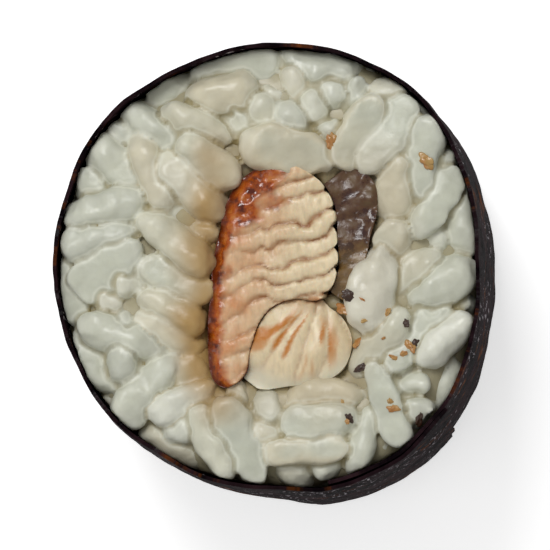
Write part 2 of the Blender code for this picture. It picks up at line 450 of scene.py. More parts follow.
def pack_grains(count, upper, depth, rise, loose=()):
    """Middles, directions, half lengths and headroom of grains packed under one cut face."""
    middles = scatter_in_bed(count, upper, depth)
    axes = chance.normal(size=(count, 3)) * (1.0, 1.0, 0.30)
    axes /= np.linalg.norm(axes, axis=1)[:, None]
    lengths = GRAIN_LENGTH / 2 * chance.uniform(0.84, 1.08, count)
    headroom = np.where(chance.random(count) < 0.3, 0.5, 1.0) * MM
    for i, (x, y, degrees, length) in enumerate(loose):
        lengths[i] = length / 2
        headroom[i] = 0.65 * MM
        axes[i] = (math.cos(math.radians(degrees)), math.sin(math.radians(degrees)), 0)
        middles[i] = (x, y, rice_level(x, y, True) - headroom[i])
    pinned_middles, pinned_axes = middles[: len(loose)].copy(), axes[: len(loose)].copy()
    reach = lengths[:, None] * BALL_STATIONS
    owner = np.repeat(np.arange(count), len(BALL_STATIONS))
    stranger = owner[:, None] != owner[None, :]
    keep = 2 * BALL_RADIUS * SOFTNESS
    limit = np.array([rice_level(x, y, upper) for x, y, _ in middles], float)
    towards = 1 if upper else -1
    for step in range(PACK_STEPS):
        balls = (middles[:, None, :] + reach[:, :, None] * axes[:, None, :]).reshape(-1, 3)
        apart = balls[:, None, :] - balls[None, :, :]
        distance = np.linalg.norm(apart, axis=2) + 1e-9
        push = np.where(stranger & (distance < keep), (keep - distance) * 0.5, 0.0)
        crowd = np.maximum((push > 0).sum(1), 1)[:, None]
        balls += (apart / distance[..., None] * push[..., None]).sum(1) / crowd * 1.5
        balls[:, 2] += towards * rise * (1 - step / PACK_STEPS)
        off_the_walls(balls)
        if step % 20 == 0:
            found = [rice_level(x, y, upper) for x, y, _ in middles]
            limit = np.array([old if new is None else new for old, new in zip(limit, found)], float)
        top = (limit - towards * headroom).repeat(len(BALL_STATIONS))
        bottom = limit.repeat(len(BALL_STATIONS)) - towards * depth
        balls[:, 2] = np.clip(balls[:, 2], np.minimum(top, bottom), np.maximum(top, bottom))
        chains = balls.reshape(count, -1, 3)
        middles = chains.mean(1)
        axes = ((chains - middles[:, None, :]) * reach[:, :, None]).sum(1)
        axes /= np.linalg.norm(axes, axis=1)[:, None]
        middles[: len(loose)], axes[: len(loose)] = pinned_middles, pinned_axes
    return middles, axes, lengths, headroom


upper_grains = pack_grains(UPPER_COUNT, upper=True, depth=UPPER_DEPTH, rise=RISE, loose=LOOSE_GRAINS)
lower_grains = pack_grains(LOWER_COUNT, upper=False, depth=LOWER_DEPTH, rise=RISE)
print("grains packed", len(upper_grains[0]), "above and", len(lower_grains[0]), "below")

# %% [markdown]
# ## Rice, laid by Geometry Nodes
# The packing is now a cloud of points with a turn, a size and a kind each. A node tree
# puts a grain on every point, makes the grains real, and then does what the knife did:
# each grain has a cutting plane of its own, level or a little tilted, and what stands
# above it is pressed down to it. So the grains at the face show flat backs with narrow
# rounded rims. Gentle noise dents them first, so that no two are alike.


# %% Node tree helpers
def new_tree(name, **sizes):
    """A Geometry Nodes group with a geometry input and named float inputs."""
    tree = bpy.data.node_groups.new(name, "GeometryNodeTree")
    tree.interface.new_socket("Geometry", in_out="INPUT", socket_type="NodeSocketGeometry")
    for label, value in sizes.items():
        socket = tree.interface.new_socket(label, in_out="INPUT", socket_type="NodeSocketFloat")
        socket.default_value = value
    tree.interface.new_socket("Geometry", in_out="OUTPUT", socket_type="NodeSocketGeometry")
    return tree, tree.nodes.new("NodeGroupInput"), tree.nodes.new("NodeGroupOutput")


def add(tree, kind, settings=None, **inputs):
    """A node with its settings. Inputs go by name, _ for a space, or by number as i0, i1."""
    node = tree.nodes.new(kind)
    for key, value in (settings or {}).items():
        setattr(node, key, value)
    for key, value in inputs.items():
        place = int(key[1:]) if key[0] == "i" and key[1:].isdigit() else key.replace("_", " ")
        if isinstance(value, bpy.types.NodeSocket):
            tree.links.new(value, node.inputs[place])
        else:
            node.inputs[place].default_value = value
    return node


def named(tree, name, kind="FLOAT"):
    return add(tree, "GeometryNodeInputNamedAttribute", {"data_type": kind}, Name=name).outputs["Attribute"]


def run_tree(obj, tree, **sizes):
    """Gives the object the tree with these sizes and returns the finished plain mesh."""
    modifier = obj.modifiers.new(tree.name, "NODES")
    modifier.node_group = tree
    for item in tree.interface.items_tree:
        if item.in_out == "INPUT" and item.name in sizes:
            modifier[item.identifier] = sizes[item.name]
    graph = bpy.context.evaluated_depsgraph_get()
    mesh = bpy.data.meshes.new_from_object(obj.evaluated_get(graph))
    obj.modifiers.remove(modifier)
    return mesh


# %% [markdown]
# The tree runs in four steps: lay, dent, press to the cut, and note how much was pressed
# away, because the inside of a cut grain is a little darker than its skin.

# %% The tree that lays and presses the grains
NOISE_SPREAD = 4.0  # noise strays about a quarter from its middle, so this brings it to one


def grain_tree(material):
    tree, given, result = new_tree("lay_grains", Rounding=0.30 * MM, Dents=0.22 * MM, Dent_size=1.7 * MM)
    kinds = add(
        tree,
        "GeometryNodeCollectionInfo",
        {"transform_space": "ORIGINAL"},
        Collection=grain_kinds,
        Separate_Children=True,
        Reset_Children=True,
    )
    turn = add(tree, "FunctionNodeEulerToRotation", Euler=named(tree, "turn", "FLOAT_VECTOR"))
    laid = add(
        tree,
        "GeometryNodeInstanceOnPoints",
        Points=given.outputs["Geometry"],
        Instance=kinds.outputs["Instances"],
        Pick_Instance=True,
        Instance_Index=named(tree, "kind", "INT"),
        Rotation=turn.outputs["Rotation"],
        Scale=named(tree, "size", "FLOAT_VECTOR"),
    )
    real = add(tree, "GeometryNodeRealizeInstances", Geometry=laid.outputs["Instances"])

    place = add(tree, "GeometryNodeInputPosition").outputs["Position"]
    drift = named(tree, "drift", "FLOAT_VECTOR")
    moved = add(tree, "ShaderNodeVectorMath", {"operation": "ADD"}, i0=place, i1=drift)
    per_metre = combine(tree, "DIVIDE", 1.0, given.outputs["Dent_size"])
    lumps = add(tree, "ShaderNodeTexNoise", Vector=moved.outputs[0], Scale=per_metre, Detail=1.0)
    centred = combine(tree, "SUBTRACT", lumps.outputs["Fac"], 0.5)
    depth = combine(tree, "MULTIPLY", centred, given.outputs["Dents"])
    lift = combine(tree, "MULTIPLY", depth, NOISE_SPREAD)
    normal = add(tree, "GeometryNodeInputNormal").outputs["Normal"]
    shift = add(tree, "ShaderNodeVectorMath", {"operation": "SCALE"}, i0=normal, Scale=lift)
    dented = add(tree, "GeometryNodeSetPosition", Geometry=real.outputs["Geometry"], Offset=shift.outputs[0])

    now = add(tree, "GeometryNodeInputPosition").outputs["Position"]
    split = add(tree, "ShaderNodeSeparateXYZ", Vector=now)
    tilt = named(tree, "tilt", "FLOAT_VECTOR")
    slope = add(tree, "ShaderNodeVectorMath", {"operation": "DOT_PRODUCT"}, i0=now, i1=tilt)
    cut = combine(tree, "ADD", slope.outputs["Value"], named(tree, "upper_cut"))
    rounding = given.outputs["Rounding"]
    under = combine(tree, "SMOOTH_MIN", split.outputs["Z"], cut, rounding)
    over = combine(tree, "SMOOTH_MAX", under, named(tree, "lower_cut"), rounding)
    level = add(tree, "ShaderNodeCombineXYZ", X=split.outputs["X"], Y=split.outputs["Y"], Z=over)
    noted = add(
        tree,
        "GeometryNodeStoreNamedAttribute",
        {"data_type": "FLOAT", "domain": "POINT"},
        Geometry=dented.outputs["Geometry"],
        Name="pressed",
        Value=combine(tree, "SUBTRACT", split.outputs["Z"], over),
    )
    pressed = add(
        tree,
        "GeometryNodeSetPosition",
        Geometry=noted.outputs["Geometry"],
        Position=level.outputs["Vector"],
    )
    smooth = add(tree, "GeometryNodeSetShadeSmooth", Geometry=pressed.outputs["Geometry"])
    dressed = add(tree, "GeometryNodeSetMaterial", Geometry=smooth.outputs["Geometry"], Material=material)
    tree.links.new(dressed.outputs["Geometry"], result.inputs["Geometry"])
    return tree


# %% [markdown]
# ## The finish of the rice
# Cooked rice is off-white and slightly see-through. Grains differ in tone, their ends
# are chalkier than their middles, and the grains next to the eel have drunk its sauce.
# The cracks between them and the lines where two grains meet get a painted khaki shade,
# as light goes through rice before it comes back, and a painted light runs along each
# grain's edge. The mesh carries a number for each of these, and the finish only mixes the colours.

# %% Rice finish
RICE_COOL = srgb(206, 208, 192)
RICE_PALE = srgb(212, 213, 194)
RICE_WARM = srgb(217, 209, 182)
RICE_CHALK_AND_RIM_LIGHT = srgb(232, 232, 216)
RICE_INSIDE = srgb(204, 206, 187)
RICE_PAINTED_SHADE = srgb(150, 136, 88)
RICE_SAUCED = srgb(176, 140, 80)


def rice_finish():
    material, tree, shader = start_finish("rice", roughness=0.36, subsurface=0.2)
    shader.inputs["Subsurface Radius"].default_value = (1.0, 0.95, 0.8)
    shader.inputs["Subsurface Scale"].default_value = 2.2 * MM
    shader.inputs["Coat Weight"].default_value = 0.14
    shader.inputs["Coat Roughness"].default_value = 0.24
    tones = (0.0, RICE_COOL), (0.45, RICE_PALE), (0.8, RICE_WARM), (1.0, RICE_CHALK_AND_RIM_LIGHT)
    tone = ramp(tree, attribute(tree, "tone"), *tones)
    ends = ramp(tree, attribute(tree, "along"), (0.55, 0.0), (1.0, 0.45))
    colour = blend_colours(tree, ends, tone, RICE_CHALK_AND_RIM_LIGHT)
    inside = ramp(tree, attribute(tree, "cut_share"), (0.10, 0.0), (0.55, 0.8))
    colour = blend_colours(tree, inside, colour, RICE_INSIDE)
    cloud = mottle(tree, place_on(tree), 1.4 * MM, detail=2.0)
    soft = ramp(tree, cloud, (0.3, 0.84), (0.7, 0.98))
    colour = blend_colours(tree, 1.0, colour, soft, mode="MULTIPLY")
    # Painted light: a pale rim next to where grains meet stands in for light coming back through the
    # see-through grain. The same pale colour also gives the chalky ends.
    rim = ramp(tree, attribute(tree, "joint"), (0.05, 0.0), (0.20, 0.5), (0.38, 0.0))
    colour = blend_colours(tree, rim, colour, RICE_CHALK_AND_RIM_LIGHT)
    # Painted shade: a khaki line where two grains meet.
    line = ramp(tree, attribute(tree, "joint"), (0.28, 0.0), (0.60, 0.55))
    colour = blend_colours(tree, line, colour, RICE_PAINTED_SHADE)
    # Painted shade in crevices between grains and where the rice lies far below the cut.
    colour = blend_colours(tree, attribute(tree, "deep"), colour, RICE_PAINTED_SHADE)
    colour = blend_colours(tree, attribute(tree, "sauced"), colour, RICE_SAUCED)
    tree.links.new(colour, shader.inputs["Base Color"])
    gloss = ramp(tree, mottle(tree, place_on(tree), 2.2 * MM), (0.3, 0.32), (0.7, 0.54))
    tree.links.new(gloss, shader.inputs["Roughness"])
    emboss(tree, shader, mottle(tree, place_on(tree), 0.6 * MM, detail=2.0), 0.05 * MM)
    return material


rice_material = rice_finish()

# %% [markdown]
# ## Rice, made
# Cooked grains stick, so a fine voxel remesh and a little smoothing join the touching
# grains with soft fillets. Each new corner looks up the grain that it came from.
# The point cloud gets its numbers here. A grain's turn takes its X axis to the packed
# direction with a random roll. After the tree has run, each corner of the mesh learns
# how shut in and how far under the cut it lies, which the finish paints as shade, and how near the eel it is,
# which the finish reads.

# %% Numbers on a mesh
def store(mesh, name, values, kind="FLOAT"):
    layer = mesh.attributes.get(name) or mesh.attributes.new(name, kind, "POINT")
    key = "vector" if kind == "FLOAT_VECTOR" else "value"
    layer.data.foreach_set(key, np.asarray(values).ravel())


def recall(mesh, name):
    found = np.empty(len(mesh.vertices), np.float32)
    mesh.attributes[name].data.foreach_get("value", found)
    return found.astype(float)


def coordinates(mesh):
    co = np.empty(len(mesh.vertices) * 3, np.float32)
    mesh.vertices.foreach_get("co", co)
    return co.reshape(-1, 3).astype(float)


def set_coordinates(mesh, co):
    mesh.vertices.foreach_set("co", co.astype(np.float32).ravel())
    mesh.update()


def normals(mesh):
    found = np.empty(len(mesh.vertices) * 3, np.float32)
    mesh.vertex_normals.foreach_get("vector", found)
    return found.reshape(-1, 3).astype(float)


def smooth_step(t):
    t = np.clip(t, 0.0, 1.0)
    return t * t * (3 - 2 * t)


def wander(co, size, seed=0.0):
    """Smooth noise from -1 to 1 with lumps of this size."""
    shift = Vector((seed, seed * 1.7, -seed))
    return np.array([noise.noise(Vector(p) / size + shift) for p in co])


# %% [markdown]
# The nori limits how far the rice may reach. Its inner and outer radius are measured by
# rays in many directions at several heights, for the rice and for the sheet alike.

# %% Where the wrap begins
SHEET_THICKNESS = 0.3 * MM
OUTSIDE = 50 * MM  # a ray that starts this far from the axis starts outside the roll
ANGLES = 720
LEVELS = 13


def wall_radii(angle, height):
    """Where the wrap begins and ends on a ray from the axis, in this direction."""
    direction = Vector((math.cos(angle), math.sin(angle), 0))
    axis = Vector((0, 0, height))
    inner = TREES["nori_wrap"].ray_cast(axis, direction)
    outer = TREES["nori_wrap"].ray_cast(axis + direction * OUTSIDE, -direction)
    return inner[3], OUTSIDE - outer[3]


heights = np.linspace(FOOT + 0.2 * MM, FACE - 0.9 * MM, LEVELS)
turns = np.linspace(0, math.tau, ANGLES, endpoint=False)
radii = np.array([[wall_radii(angle, height) for angle in turns] for height in heights])
print("wrap radii in mm", (radii.min() / MM).round(2), "to", (radii.max() / MM).round(2))

# %% [markdown]
# Now the grains are made: points with their numbers, the node tree, a press against the
# wrap, and the remesh that fuses them. Where two grains meet runs a shallow groove, here
# deep and there almost closed. Then every corner is marked for the finish.

# %% Make the grains
GRAIN_TILT = 0.15  # the steepest slope of a grain's cut
UPPER_VOXEL = 0.192 * MM  # keeps the upper grains under 200,000 triangles
LOWER_VOXEL = 0.28 * MM
WRAP_CLEAR = 0.04 * MM
SAUCE_REACH = 3.2 * MM
CREVICE = 1.6 * MM  # a gap narrower than this is shaded as a crevice
JOINT_DEPTH = 0.22 * MM
JOINT_BLUR = 4
GRAIN_UNEVEN = 0.10 * MM
EEL_NODES = ("eel_fillet", "eel_skin", "eel_flake")


def grain_points(name, packed, upper):
    """Packed grains as loose points that carry their turn, size, kind, tone and cut."""
    middles, axes, halves, headroom = packed
    count = len(middles)
    turned, sizes = [], []
    for axis, half in zip(axes, halves):
        roll = Matrix.Rotation(chance.uniform(0, math.tau), 3, "X")
        turn = Vector(axis).to_track_quat("X", "Z").to_matrix() @ roll
        turned.append(tuple(turn.to_euler()))
        plump = chance.uniform(0.84, 1.10)
        sizes.append((2 * half / GRAIN_LENGTH, plump, plump * chance.uniform(0.94, 1.04)))
    mesh = bpy.data.meshes.new(name)
    mesh.from_pydata([tuple(m) for m in middles], [], [])
    tone = chance.beta(1.6, 1.8, count) * 0.9
    tilt = np.zeros((count, 3))
    upper_cut = np.full(count, FACE + 5 * MM)
    if upper:
        levels = [rice_level(m[0], m[1], True) for m in middles]
        levels = np.array([FACE if level is None or level < MIDDLE else level for level in levels])
        tilt[:, :2] = chance.uniform(-GRAIN_TILT, GRAIN_TILT, (count, 2))
        high_cut = chance.uniform(-0.20, 0.35, count)
        low_cut = chance.uniform(0.40, 0.85, count)
        cut = np.where(headroom < 0.6 * MM, high_cut, low_cut)
        upper_cut = levels + cut * MM - (tilt * middles).sum(1)
        hand_laid = len(LOOSE_GRAINS)
        tone[:hand_laid] = 1.0
        upper_cut[:hand_laid] = FACE + 0.5 * MM
        tilt[:hand_laid] = 0
    store(mesh, "turn", turned, "FLOAT_VECTOR")
    store(mesh, "size", sizes, "FLOAT_VECTOR")
    store(mesh, "drift", chance.uniform(-0.2, 0.2, (count, 3)), "FLOAT_VECTOR")
    store(mesh, "kind", chance.integers(0, GRAIN_KINDS, count), "INT")
    store(mesh, "tone", tone)
    store(mesh, "tilt", tilt, "FLOAT_VECTOR")
    store(mesh, "upper_cut", upper_cut)
    store(mesh, "lower_cut", FOOT + chance.uniform(0.0, 0.3, count) ** 2 * MM)
    points = in_scene(name, mesh)
    return points


def press_on_wrap(mesh, clear):
    """Flattens what would come through the nori, along the ray from the axis."""
    co = coordinates(mesh)
    far = np.hypot(co[:, 0], co[:, 1])
    column = (np.arctan2(co[:, 1], co[:, 0]) % math.tau / math.tau * ANGLES).astype(int) % ANGLES
    row = np.clip(np.searchsorted(heights, co[:, 2]), 0, LEVELS - 1)
    limit = radii[row, column, 0] - clear
    over = np.maximum(far - limit, 0)
    co[:, :2] *= ((far - over) / np.maximum(far, 1e-6))[:, None]
    set_coordinates(mesh, co)


def openness(mesh):
    """Share of free sky over each corner, from a few short rays."""
    tree = tree_of(mesh)
    co, normal = coordinates(mesh), normals(mesh)
    free = np.zeros(len(co))
    leans = [Vector((math.cos(a) * 0.8, math.sin(a) * 0.8, 0.6)) for a in (0.3, 2.4, 4.5)]
    outwards = 1 if co[:, 2].mean() > MIDDLE else -1
    for i, (point, facing) in enumerate(zip(co, normal)):
        start = Vector(point + facing * 0.02 * MM)
        for lean in leans:
            way = Vector((lean.x + facing[0] * 0.6, lean.y + facing[1] * 0.6, outwards * lean.z)).normalized()
            hit = tree.ray_cast(start, way, CREVICE)
            free[i] += 1.0 if hit[0] is None else hit[3] / CREVICE
    return free / len(leans)


def eel_distance(co):
    """How far each point is from the eel, measured level through the roll."""
    away = np.empty(len(co))
    for i, point in enumerate(co):
        probe = level_probe(point, 2 * MM)
        away[i] = min((TREES[node].find_nearest(probe)[3] for node in EEL_NODES))
    return away


def mark_rice(mesh, free):
    """Stores each corner's painted shade, from how shut in and how far below the cut it is, and how near the
    eel it is.
    """
    co = coordinates(mesh)
    sunk = np.minimum(FACE - co[:, 2], co[:, 2] - FOOT)
    # Painted shade: darker where other grains shut a corner in, and more so the further it lies below the
    # cut.
    shut = smooth_step((0.86 - free) / 0.7) * 0.95
    shut += smooth_step((sunk - 1.6 * MM) / (2.5 * MM)) * 0.5
    store(mesh, "deep", np.clip(shut, 0, 1))
    near = 1.2 - eel_distance(co) / SAUCE_REACH
    left = smooth_step((-co[:, 0] / MM - 1.0) / 4.0)
    patchy = wander(co, 3.0 * MM)
    store(mesh, "sauced", smooth_step(near + 0.5 * patchy + 0.02) * (0.20 + 0.75 * left))


def seams_between(mesh, grain):
    """1 on the line where two grains meet, fading over a corner or two."""
    edges = np.empty(len(mesh.edges) * 2, np.int32)
    mesh.edges.foreach_get("vertices", edges)
    one, other = edges.reshape(-1, 2).T
    meets = grain[one] != grain[other]
    joint = np.zeros(len(grain))
    joint[one[meets]] = 1
    joint[other[meets]] = 1
    for _ in range(JOINT_BLUR):
        total, share = np.zeros(len(grain)), np.zeros(len(grain))
        for a, b in ((one, other), (other, one)):
            np.add.at(total, a, joint[b])
            np.add.at(share, a, 1)
        joint = (joint + total / np.maximum(share, 1)) / 2
    return joint


def fuse(mesh, voxel, count):
    """Joins touching grains with a soft fillet, and carries each grain's numbers over."""
    names = ("tone", "along", "pressed")
    mesh.calc_loop_triangles()
    corners = np.array([triangle.vertices[:] for triangle in mesh.loop_triangles])
    found = {name: recall(mesh, name)[corners].mean(1) for name in names}
    tree = BVHTree.FromPolygons([v.co for v in mesh.vertices], corners.tolist())
    obj = in_scene(mesh.name, mesh)
    grid = obj.modifiers.new("grid", "REMESH")
    grid.mode = "VOXEL"
    grid.voxel_size = voxel
    soften = obj.modifiers.new("soften", "SMOOTH")
    soften.factor = 0.5
    soften.iterations = 1
    graph = bpy.context.evaluated_depsgraph_get()
    fused = bpy.data.meshes.new_from_object(obj.evaluated_get(graph))
    bpy.data.objects.remove(obj)
    face_of = np.array([tree.find_nearest(vertex.co)[2] for vertex in fused.vertices])
    for name in names:
        store(fused, name, found[name][face_of])
    joint = seams_between(fused, face_of // (len(corners) // count))
    co = coordinates(fused)
    joint *= np.clip(0.75 + 0.6 * wander(co, 2.6 * MM, 4.0), 0.25, 1.1)
    uneven = GRAIN_UNEVEN * (wander(co, 1.3 * MM, 2.0) + 0.45 * wander(co, 0.55 * MM, 5.0))
    set_coordinates(fused, co + normals(fused) * (uneven - joint * JOINT_DEPTH)[:, None])
    store(fused, "joint", joint)
    fused.shade_smooth()
    return fused


def make_grains(name, packed, upper, voxel):
    points = grain_points(name + "_points", packed, upper)
    mesh = run_tree(points, grain_tree(rice_material))
    bpy.data.objects.remove(points)
    press_on_wrap(mesh, WRAP_CLEAR)
    mesh = fuse(mesh, voxel, len(packed[0]))
    mesh.name = name
    mesh.materials.clear()
    mesh.materials.append(rice_material)
    mark_rice(mesh, openness(mesh))
    store(mesh, "cut_share", np.clip(recall(mesh, "pressed") / MM, 0, 1))
    grains = in_scene(name, mesh)
    mesh.calc_loop_triangles()
    print(name, len(mesh.loop_triangles), "triangles")
    return grains


rice_grains_upper = make_grains("rice_grains_upper", upper_grains, True, UPPER_VOXEL)
rice_grains_lower = make_grains("rice_grains_lower", lower_grains, False, LOWER_VOXEL)

# %% [markdown]
# ## The heart of the rice
# Between the grains the eye meets more rice, never a void. So a lumpy core fills the
# roll behind them. It is the rice solid, remeshed finely, swollen into soft grain-sized
# bumps, held back by the wrap, and sunk at both cut faces so that the grains stand out.

# %% Make the core
CORE_VOXEL = 0.5 * MM
CORE_SWELL = 0.60 * MM
CORE_SINK = 1.3 * MM
CORE_BUMP = 0.5 * MM
CORE_LUMP = 2.8 * MM  # from one bump to the next
CORE_OPEN = 0.45  # how open to the light it counts as


def fine_copy(node, name, voxel):
    """The node's solid as an even mesh of small quads, as an object in the scene."""
    obj = in_scene(name, merged_copy(node, name))
    grid = obj.modifiers.new("grid", "REMESH")
    grid.mode = "VOXEL"
    grid.voxel_size = voxel
    graph = bpy.context.evaluated_depsgraph_get()
    mesh = bpy.data.meshes.new_from_object(obj.evaluated_get(graph))
    obj.modifiers.clear()
    obj.data = mesh
    mesh.name = name
    mesh.shade_smooth()
    return obj


rice_core = fine_copy("rice_bed", "rice_core", CORE_VOXEL)
core_co = coordinates(rice_core.data)
core_share = (core_co[:, 2] - MIDDLE) / (FACE - MIDDLE)
bumps = np.array([1 - noise.voronoi(Vector(p) / CORE_LUMP)[0][0] ** 2 for p in core_co])
core_co += normals(rice_core.data) * (bumps * CORE_BUMP - CORE_BUMP + CORE_SWELL)[:, None]
core_co[:, 2] -= np.sign(core_share) * np.abs(core_share) ** 3 * CORE_SINK
set_coordinates(rice_core.data, core_co)
press_on_wrap(rice_core.data, WRAP_CLEAR)
# The core gets the same painted shade, counted as fairly open to the light.
mark_rice(rice_core.data, np.full(len(core_co), CORE_OPEN))
store(rice_core.data, "joint", np.zeros(len(core_co)))
store(rice_core.data, "tone", np.full(len(core_co), 0.6))
rice_core.data.materials.append(rice_material)
print("rice core", len(rice_core.data.polygons), "faces")

# %% [markdown]
# ## Nori, the wound sheet
# The wrap is half a sheet of nori wound once round with a lap. Its middle line is found
# by shooting rays at the nori solid: outwards from the axis to meet the first layer,
# and inwards to meet the last one. Where the two are far apart the sheet lies double.
# A grid of points follows that line, so the sheet has real coordinates of its own,
# along the wrap and up the roll, which its fibres will follow.

# %% Find the lap
double = (radii[..., 1] - radii[..., 0]) > 1.4 * SHEET_THICKNESS
lap_from = np.array([turns[row][0] for row in double])
lap_to = np.array([turns[row][-1] for row in double])
print(
    "lap from",
    np.degrees(lap_from).round(0)[[0, -1]],
    "to",
    np.degrees(lap_to).round(0)[[0, -1]],
    "degrees",
)

# %% [markdown]
# Between the measured heights and directions the sheet is filled in smoothly. Its loose
# end is eased down onto the layer below, and its upper edge wavers as the knife did.

# %% Lay a grid of points on it
EDGE_STEPS = 180
SHEET_STEP = 0.30 * MM
CUT_RAGGED = 0.22 * MM
FLAP_REACH = 12 * MM  # over this length the sheet's end is pressed onto the layer below


def radius_at(angle, level, side):
    """The wrap's radius between the rays. Side 0 is the inner layer, 1 the outer."""
    place = (angle % math.tau) / math.tau * ANGLES
    first = np.floor(place).astype(int) % ANGLES
    share = place - np.floor(place)
    row = radii[level, :, side]
    return row[first] * (1 - share) + row[(first + 1) % ANGLES] * share


def smoothed(values, reach):
    """A running mean, so the solid's flat facets don't show in the fine sheet."""
    padded = np.pad(values, reach, mode="edge")
    weights = np.hanning(2 * reach + 1)
    return np.convolve(padded, weights / weights.sum(), "valid")


def sheet_grid():
    """Points of the sheet by row up the roll and column along the wrap, with its own coordinates."""
    wrap_turn = math.tau + (lap_to - lap_from).mean()
    mean_radius = radii.mean()
    columns = round(wrap_turn * mean_radius / SHEET_STEP)
    rows = round((FACE - FOOT) / SHEET_STEP)
    turn = np.linspace(0, wrap_turn, columns + 1)
    half = SHEET_THICKNESS / 2
    to_end = (wrap_turn - turn) * mean_radius
    lines = []
    for level in range(LEVELS):
        angle = lap_from[level] + turn
        inner_layer = radius_at(angle, level, 0) + half
        outer_layer = radius_at(angle, level, 1) - half
        doubled = turn > math.tau
        below = radius_at(angle, level, 0) + half + SHEET_THICKNESS * 1.05
        pressed = smooth_step(1 - to_end / FLAP_REACH)
        outer_layer = np.where(doubled, outer_layer * (1 - pressed) + below * pressed, outer_layer)
        radius = smoothed(np.where(turn < math.pi, inner_layer, outer_layer), 6)
        lines.append(np.stack((radius * np.cos(angle), radius * np.sin(angle)), 1))
    lines = np.array(lines)
    up = np.linspace(0, 1, rows + 1)
    place = up * (LEVELS - 1)
    first = np.minimum(place.astype(int), LEVELS - 2)
    share = (place - first)[:, None, None]
    flat = lines[first] * (1 - share) + lines[first + 1] * share
    top = smoothed(np.array([edge_height(lap_from[-1] + t) for t in turn]), 2)
    z = FOOT + up[:, None] * (top - FOOT)[None, :]
    return np.dstack((flat, z)), turn * mean_radius, z


def edge_height(angle):
    """The knife's wavering line along the upper edge, read from the solid."""
    level = solid_edges[round(angle / math.tau * len(solid_edges)) % len(solid_edges)]
    around = Vector((math.cos(angle), math.sin(angle), 0))
    tear = noise.noise(around * 6) + 0.5 * noise.noise(around * 23)
    return level + tear * CUT_RAGGED


def solid_edge(angle):
    """Height of the nori solid's upper edge in this direction."""
    radius = radius_at(np.array([angle]), LEVELS - 1, 1)[0] - SHEET_THICKNESS / 2
    spot = Vector((math.cos(angle) * radius, math.sin(angle) * radius, FACE + 10 * MM))
    hit = TREES["nori_wrap"].find_nearest(spot)[0]
    return hit.z


solid_edges = [solid_edge(math.tau * i / EDGE_STEPS) for i in range(EDGE_STEPS)]
sheet_points, sheet_along, sheet_up = sheet_grid()
print("sheet grid", sheet_points.shape, "sheet length in mm", round(sheet_along[-1] / MM))

# %% [markdown]
# ## Nori, pressed by the rice
# A fresh wrap isn't a smooth tube: it clings to the grains, wrinkles a little where it
# shrank, and its surface is a felt of fine crossing fibres. The bumps and wrinkles are
# real relief, made by a node tree that pushes the grid along its normals. Solidify then
# gives the sheet its thickness.


# %% The tree that presses the sheet
def press_tree(material):
    sizes = {"Grain_size": 4.0 * MM, "Wrinkle_size": 1.3 * MM}
    depths = {"Grain_depth": 0.26 * MM, "Wrinkle_depth": 0.09 * MM}
    tree, given, result = new_tree("press_sheet", **sizes, **depths)
    total = 0.0
    for size, depth, detail in zip(sizes, depths, (0.5, 3.0)):
        place = add(tree, "GeometryNodeInputPosition").outputs["Position"]
        per_metre = combine(tree, "DIVIDE", 1.0, given.outputs[size])
        lumps = add(tree, "ShaderNodeTexNoise", Vector=place, Scale=per_metre, Detail=detail)
        centred = combine(tree, "SUBTRACT", lumps.outputs["Fac"], 0.5)
        twice = combine(tree, "MULTIPLY", centred, 2.0)
        part = combine(tree, "MULTIPLY", twice, given.outputs[depth])
        total = combine(tree, "ADD", total, part)
    normal = add(tree, "GeometryNodeInputNormal").outputs["Normal"]
    shift = add(tree, "ShaderNodeVectorMath", {"operation": "SCALE"}, i0=normal, Scale=total)
    pressed = add(
        tree,
        "GeometryNodeSetPosition",
        Geometry=given.outputs["Geometry"],
        Offset=shift.outputs[0],
    )
    smooth = add(tree, "GeometryNodeSetShadeSmooth", Geometry=pressed.outputs["Geometry"])
    dressed = add(tree, "GeometryNodeSetMaterial", Geometry=smooth.outputs["Geometry"], Material=material)
    tree.links.new(dressed.outputs["Geometry"], result.inputs["Geometry"])
    return tree


# %% [markdown]
# ## The finish of the nori
# Nori is nearly black with a violet cast, and it is a felt of fine fibres that lie crosswise.
# Where they catch the light they shine as short bright threads, and these glints are painted
# into the colour. Where the felt is thin, the sauce and the rice behind it show through as amber.
# All of it follows the sheet's own coordinates, so that the fibres run round the roll.

# %% Nori finish
NORI_BLACK = srgb(10, 5, 8)
NORI_VIOLET = srgb(46, 29, 33)
NORI_AMBER = srgb(132, 70, 18)
NORI_PAINTED_GLINT = srgb(186, 178, 184)


